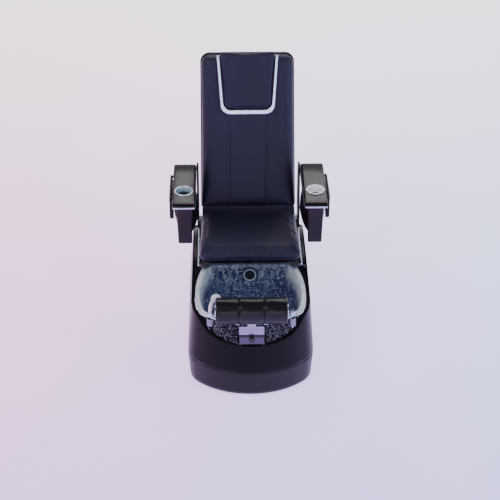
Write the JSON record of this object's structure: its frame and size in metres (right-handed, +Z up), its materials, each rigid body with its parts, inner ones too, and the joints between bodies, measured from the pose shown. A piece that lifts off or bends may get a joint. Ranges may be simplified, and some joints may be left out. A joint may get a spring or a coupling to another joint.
{
  "type": "pedicure spa chair",
  "caption": "Reclining pedicure chair on a closed base with a glass foot bowl, padded foot rest, folding side trays and lift-up arms",
  "frame": {"origin": "on the floor under the middle of the chair's overall box", "axes": "+Z up from the floor, -Y towards the technician at the foot bowl, +X to the right seen from the front"},
  "size_m": [0.784, 1.1897, 1.3939],
  "materials": {
    "upholstery": "matte",
    "footrest_vinyl": "gloss",
    "gloss_black": "gloss",
    "gloss_skirt": "gloss",
    "arm_gloss": "gloss",
    "bowl_glass": "gloss",
    "chrome": "polished",
    "satin_metal": "satin",
    "frame_paint": "satin",
    "bare_steel": "satin",
    "black_plastic": "satin",
    "white_plastic": "gloss",
    "rubber": "matte",
    "brass": "satin"
  },
  "bodies": {
    "base": {"base_frame": "frame_paint", "leveling_feet": "rubber", "base_skirt": "gloss_skirt", "base_shell": "gloss_black", "base_deck": "gloss_black", "rear_panel": "gloss_black", "fasteners": "bare_steel", "glass_bowl": "bowl_glass", "bowl_apron": "gloss_black", "bowl_gaskets": "rubber", "drain_strainer": "chrome", "drain_pipe": "black_plastic", "jet_housing": "black_plastic", "jet_cap": "chrome", "jet_motor": "black_plastic", "mixer_valve": "brass", "shower_holder": "chrome", "water_inlets": "brass", "control_box": "black_plastic", "power_inlet": "black_plastic", "footrest_track": "chrome", "slide_rails": "frame_paint", "slide_actuator": "bare_steel"},
    "seat_carriage": {"seat_frame": "frame_paint", "seat_cushion": "upholstery", "seat_shroud": "black_plastic", "seat_trims": "chrome", "riser_plates": "frame_paint", "riser_covers": "gloss_black", "hinge_pins": "bare_steel", "recline_motor": "bare_steel"},
    "backrest": {"back_cushion": "upholstery", "back_shell": "gloss_black", "back_frame": "frame_paint", "massage_rails": "bare_steel", "headrest_pillow": "upholstery", "headrest_trim": "chrome"},
    "massage_carriage": {"massage_carriage": "black_plastic"},
    "massage_rollers": {"massage_rollers": "rubber"},
    "arm_left": {"armrest_left": "arm_gloss", "arm_pod_left": "arm_gloss", "arm_bracket_left": "frame_paint", "arm_trim_left": "chrome", "cup_holder": "satin_metal"},
    "arm_right": {"armrest_right": "arm_gloss", "arm_pod_right": "arm_gloss", "arm_bracket_right": "frame_paint", "arm_trim_right": "chrome"},
    "tray_left": {"side_tray_left": "arm_gloss"},
    "tray_right": {"side_tray_right": "arm_gloss"},
    "finger_bowl": {"finger_bowl": "white_plastic"},
    "footrest": {"footrest_carrier": "chrome", "footrest_bar": "chrome", "footrest_pads": "footrest_vinyl"},
    "footrest_knob": {"footrest_knob": "black_plastic"},
    "shower_head": {"shower_head": "white_plastic"},
    "mixer_knob": {"mixer_knob": "chrome"},
    "drain_plug": {"drain_plug": "chrome"},
    "jet_impeller": {"jet_impeller": "black_plastic"},
    "jet_button": {"jet_button": "black_plastic"}
  },
  "joints": [
    {"name": "seat_slide", "type": "slide", "parent": "base", "child": "seat_carriage", "axis": [0, 1, 0], "range_m": [0, 0.1]},
    {"name": "back_recline", "type": "hinge", "parent": "seat_carriage", "child": "backrest", "pos_m": [0, 0.244, 0.56], "axis": [-1, 0, 0], "range_deg": [-8, 35]},
    {"name": "massage_travel", "type": "slide", "parent": "backrest", "child": "massage_carriage", "axis": [0, 0.284, 0.9588], "range_m": [-0.1, 0.42]},
    {"name": "roller_spin", "type": "hinge", "parent": "massage_carriage", "child": "massage_rollers", "pos_m": [0, 0.36106, 0.77563], "axis": [1, 0, 0], "continuous": true},
    {"name": "arm_left_lift", "type": "hinge", "parent": "seat_carriage", "child": "arm_left", "pos_m": [-0.266, 0.254, 0.838], "axis": [-1, 0, 0], "range_deg": [0, 80]},
    {"name": "arm_right_lift", "type": "hinge", "parent": "seat_carriage", "child": "arm_right", "pos_m": [0.266, 0.254, 0.838], "axis": [-1, 0, 0], "range_deg": [0, 80]},
    {"name": "tray_left_fold", "type": "hinge", "parent": "arm_left", "child": "tray_left", "pos_m": [-0.385, 0.009, 0.857], "axis": [0, 1, 0], "range_deg": [0, 90]},
    {"name": "tray_right_fold", "type": "hinge", "parent": "arm_right", "child": "tray_right", "pos_m": [0.385, 0.009, 0.857], "axis": [0, -1, 0], "range_deg": [0, 90]},
    {"name": "finger_bowl_lift", "type": "slide", "parent": "arm_right", "child": "finger_bowl", "axis": [0, -0.0785, 0.9969], "range_m": [0, 0.06]},
    {"name": "footrest_height", "type": "slide", "parent": "base", "child": "footrest", "axis": [0, 0, 1], "range_m": [0, 0.05]},
    {"name": "footrest_knob_turn", "type": "hinge", "parent": "footrest", "child": "footrest_knob", "pos_m": [0, -0.576, 0.336], "axis": [0, -1, 0], "range_deg": [0, 180]},
    {"name": "shower_lift", "type": "slide", "parent": "base", "child": "shower_head", "axis": [0, 0, 1], "range_m": [0, 0.15]},
    {"name": "mixer_turn", "type": "hinge", "parent": "base", "child": "mixer_knob", "pos_m": [0.197, -0.472, 0.40802], "axis": [0, 0, 1], "range_deg": [-45, 45]},
    {"name": "drain_plug_lift", "type": "slide", "parent": "base", "child": "drain_plug", "axis": [0, 0, 1], "range_m": [0, 0.012]},
    {"name": "jet_spin", "type": "hinge", "parent": "base", "child": "jet_impeller", "pos_m": [0, -0.1047, 0.42], "axis": [0, -0.9928, 0.1201], "continuous": true},
    {"name": "jet_button_press", "type": "slide", "parent": "base", "child": "jet_button", "axis": [0, 0, -1], "range_m": [0, 0.003], "stiffness_N_per_m": 400}
  ]
}
